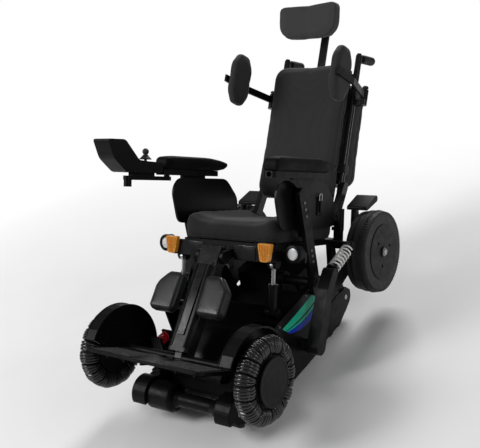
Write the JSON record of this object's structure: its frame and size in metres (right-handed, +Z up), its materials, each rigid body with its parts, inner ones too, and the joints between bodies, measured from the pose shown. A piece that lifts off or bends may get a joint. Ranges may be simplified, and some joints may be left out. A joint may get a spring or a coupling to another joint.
{
  "type": "stair climbing wheelchair",
  "caption": "Powered wheelchair on crawler tracks with omni front wheels, sprung rear wheels, a tilting padded seat, headrest, side supports and a footplate.",
  "frame": {"origin": "middle of the bounding box at floor level, under the crawler tracks", "axes": "+Z up, -Y the way the chair faces, +X to the left of a person in the seat"},
  "size_m": [0.694, 1.4343, 1.0874],
  "materials": {
    "tub_plastic": "matt",
    "cover_gloss": "gloss",
    "frame_metal": "satin",
    "lever_metal": "satin",
    "disc_metal": "satin",
    "steel": "brushed",
    "strut_black": "satin",
    "belt_rubber": "matt",
    "roller_rubber": "matt",
    "tyre_rubber": "matt",
    "spring_red": "gloss",
    "spring_white": "gloss",
    "lamp_black": "satin",
    "lens_white": "clear",
    "lamp_amber": "gloss",
    "fabric": "woven",
    "pad_black": "soft",
    "grip_rubber": "matt",
    "box_plastic": "satin"
  },
  "bodies": {
    "chassis": {"chassis_frame": "tub_plastic", "side_covers": "cover_gloss", "front_cowl": "cover_gloss", "battery_pack": "tub_plastic", "track_frames": "frame_metal", "track_belts": "belt_rubber", "front_spring_left": "spring_red", "front_spring_right": "spring_red"},
    "sprockets": {"track_sprockets": "steel"},
    "idlers": {"track_idlers": "steel"},
    "tilt_cylinder": {"tilt_cylinders": "strut_black"},
    "tilt_rod": {"tilt_rods": "steel"},
    "seat": {"seat_frame": "frame_metal", "front_beam": "cover_gloss", "headlights": "lamp_black", "headlight_lenses": "lens_white", "turn_lamps": "lamp_amber", "seat_cushion": "fabric", "side_guards": "cover_gloss"},
    "left_armrest": {"arm_left": "frame_metal", "arm_pad_left": "pad_black"},
    "right_armrest": {"arm_right": "frame_metal", "arm_pad_right": "pad_black"},
    "controller": {"swing_bracket": "frame_metal", "controller_box": "box_plastic"},
    "gimbal": {"joystick_gimbal": "steel"},
    "stick": {"joystick": "grip_rubber"},
    "button": {"power_button": "steel"},
    "back": {"backrest_frame": "frame_metal", "backrest_cushion": "fabric", "hand_grips": "grip_rubber", "bag": "fabric"},
    "head_mast": {"headrest_mast": "lever_metal"},
    "head_pad": {"headrest_pad": "fabric"},
    "leg_rest": {"leg_column": "frame_metal", "calf_pads": "fabric"},
    "foot_rest": {"footplate": "frame_metal"},
    "front_swing_left": {"front_arm_left": "frame_metal", "front_fender_left": "cover_gloss"},
    "front_wheel_left": {"front_hub_left": "lever_metal", "front_rollers_left": "roller_rubber"},
    "rear_lift_left": {"rear_lever_left": "lever_metal", "rear_spring_left": "spring_white"},
    "rear_swing_left": {"rear_arm_left": "frame_metal"},
    "rear_wheel_left": {"rear_disc_left": "disc_metal", "rear_tyre_left": "tyre_rubber"},
    "lateral_left": {"lateral_arm_left": "frame_metal", "lateral_pad_left": "fabric"},
    "front_swing_right": {"front_arm_right": "frame_metal", "front_fender_right": "cover_gloss"},
    "front_wheel_right": {"front_hub_right": "lever_metal", "front_rollers_right": "roller_rubber"},
    "rear_lift_right": {"rear_lever_right": "lever_metal", "rear_spring_right": "spring_white"},
    "rear_swing_right": {"rear_arm_right": "frame_metal"},
    "rear_wheel_right": {"rear_disc_right": "disc_metal", "rear_tyre_right": "tyre_rubber"},
    "lateral_right": {"lateral_arm_right": "frame_metal", "lateral_pad_right": "fabric"}
  },
  "joints": [
    {"name": "sprocket_spin", "type": "hinge", "parent": "chassis", "child": "sprockets", "pos_m": [0, -0.5648, 0.09], "axis": [1, 0, 0], "continuous": true},
    {"name": "idler_spin", "type": "hinge", "parent": "chassis", "child": "idlers", "pos_m": [0, 0.1472, 0.086], "axis": [1, 0, 0], "continuous": true},
    {"name": "seat_tilt", "type": "hinge", "parent": "chassis", "child": "seat", "pos_m": [0, -0.1118, 0.301], "axis": [1, 0, 0], "range_deg": [-12, 6]},
    {"name": "tilt_cylinder_swing", "type": "hinge", "parent": "chassis", "child": "tilt_cylinder", "pos_m": [0, -0.2828, 0.278], "axis": [1, 0, 0], "range_deg": [-6.5, 4]},
    {"name": "tilt_rod_stroke", "type": "slide", "parent": "tilt_cylinder", "child": "tilt_rod", "axis": [0, 0.3999, 0.9166], "range_m": [-0.017, 0.032]},
    {"name": "front_swing_left_hinge", "type": "hinge", "parent": "chassis", "child": "front_swing_left", "pos_m": [0.25, -0.4208, 0.172], "axis": [1, 0, 0], "range_deg": [-4, 4], "stiffness_Nm_per_rad": 1500, "deforming": ["front_spring_left"]},
    {"name": "front_wheel_left_spin", "type": "hinge", "parent": "front_swing_left", "child": "front_wheel_left", "pos_m": [0.313, -0.5448, 0.225], "axis": [1, 0, 0], "continuous": true},
    {"name": "rear_lift_left_hinge", "type": "hinge", "parent": "chassis", "child": "rear_lift_left", "pos_m": [0.29, -0.2348, 0.134], "axis": [1, 0, 0], "range_deg": [-10, 8]},
    {"name": "rear_swing_left_hinge", "type": "hinge", "parent": "rear_lift_left", "child": "rear_swing_left", "pos_m": [0.216, -0.2348, 0.134], "axis": [1, 0, 0], "range_deg": [-2.5, 2.5], "stiffness_Nm_per_rad": 4000, "deforming": ["rear_spring_left"]},
    {"name": "rear_wheel_left_spin", "type": "hinge", "parent": "rear_swing_left", "child": "rear_wheel_left", "pos_m": [0.29, 0.2422, 0.237], "axis": [1, 0, 0], "continuous": true},
    {"name": "lateral_left_swing", "type": "hinge", "parent": "back", "child": "lateral_left", "pos_m": [0.206, 0.52812, 0.74317], "axis": [0, 0.5976, 0.8018], "range_deg": [0, 80]},
    {"name": "left_armrest_height", "type": "slide", "parent": "seat", "child": "left_armrest", "axis": [0, 0.4067, 0.9135], "range_m": [0, 0.05]},
    {"name": "front_swing_right_hinge", "type": "hinge", "parent": "chassis", "child": "front_swing_right", "pos_m": [-0.25, -0.4208, 0.172], "axis": [1, 0, 0], "range_deg": [-4, 4], "stiffness_Nm_per_rad": 1500, "deforming": ["front_spring_right"]},
    {"name": "front_wheel_right_spin", "type": "hinge", "parent": "front_swing_right", "child": "front_wheel_right", "pos_m": [-0.313, -0.5448, 0.225], "axis": [1, 0, 0], "continuous": true},
    {"name": "rear_lift_right_hinge", "type": "hinge", "parent": "chassis", "child": "rear_lift_right", "pos_m": [-0.29, -0.2348, 0.134], "axis": [1, 0, 0], "range_deg": [-10, 8]},
    {"name": "rear_swing_right_hinge", "type": "hinge", "parent": "rear_lift_right", "child": "rear_swing_right", "pos_m": [-0.216, -0.2348, 0.134], "axis": [1, 0, 0], "range_deg": [-2.5, 2.5], "stiffness_Nm_per_rad": 4000, "deforming": ["rear_spring_right"]},
    {"name": "rear_wheel_right_spin", "type": "hinge", "parent": "rear_swing_right", "child": "rear_wheel_right", "pos_m": [-0.29, 0.2422, 0.237], "axis": [1, 0, 0], "continuous": true},
    {"name": "lateral_right_swing", "type": "hinge", "parent": "back", "child": "lateral_right", "pos_m": [-0.206, 0.52812, 0.74317], "axis": [0, 0.5976, 0.8018], "range_deg": [-80, 0]},
    {"name": "right_armrest_height", "type": "slide", "parent": "seat", "child": "right_armrest", "axis": [0, 0.4067, 0.9135], "range_m": [0, 0.05]},
    {"name": "controller_swing", "type": "hinge", "parent": "right_armrest", "child": "controller", "pos_m": [-0.233, -0.15175, 0.69315], "axis": [0, 0.4067, 0.9135], "range_deg": [-75, 0]},
    {"name": "joystick_fore_aft", "type": "hinge", "parent": "controller", "child": "gimbal", "pos_m": [-0.233, -0.23862, 0.76357], "axis": [1, 0, 0], "range_deg": [-10, 10], "stiffness_Nm_per_rad": 0.6},
    {"name": "joystick_sideways", "type": "hinge", "parent": "gimbal", "child": "stick", "pos_m": [-0.233, -0.23862, 0.76357], "axis": [0, 0.9135, -0.4067], "range_deg": [-10, 10], "stiffness_Nm_per_rad": 0.6},
    {"name": "power_button_press", "type": "slide", "parent": "controller", "child": "button", "axis": [0, 0.4067, 0.9135], "range_m": [-0.002, 0], "stiffness_N_per_m": 800},
    {"name": "backrest_recline", "type": "hinge", "parent": "seat", "child": "back", "pos_m": [0, 0.20483, 0.36801], "axis": [1, 0, 0], "range_deg": [-25, 5]},
    {"name": "headrest_height", "type": "slide", "parent": "back", "child": "head_mast", "axis": [0, 0.5976, 0.8018], "range_m": [-0.03, 0.06]},
    {"name": "headrest_tilt", "type": "hinge", "parent": "head_mast", "child": "head_pad", "pos_m": [0, 0.62337, 0.99645], "axis": [1, 0, 0], "range_deg": [-20, 20]},
    {"name": "leg_rest_raise", "type": "hinge", "parent": "seat", "child": "leg_rest", "pos_m": [0, -0.28399, 0.46743], "axis": [1, 0, 0], "range_deg": [-50, 0]},
    {"name": "foot_rest_flip", "type": "hinge", "parent": "leg_rest", "child": "foot_rest", "pos_m": [0, -0.55289, 0.24968], "axis": [1, 0, 0], "range_deg": [-68, 0]}
  ],
  "couplings": [
    {"joint": "idler_spin", "follows": "sprocket_spin", "ratio": 1},
    {"joint": "tilt_cylinder_swing", "follows": "seat_tilt", "ratio": 0.4126},
    {"joint": "tilt_rod_stroke", "follows": "seat_tilt", "m_per_rad": -0.14746},
    {"joint": "rear_lift_right_hinge", "follows": "rear_lift_left_hinge", "ratio": 1}
  ]
}
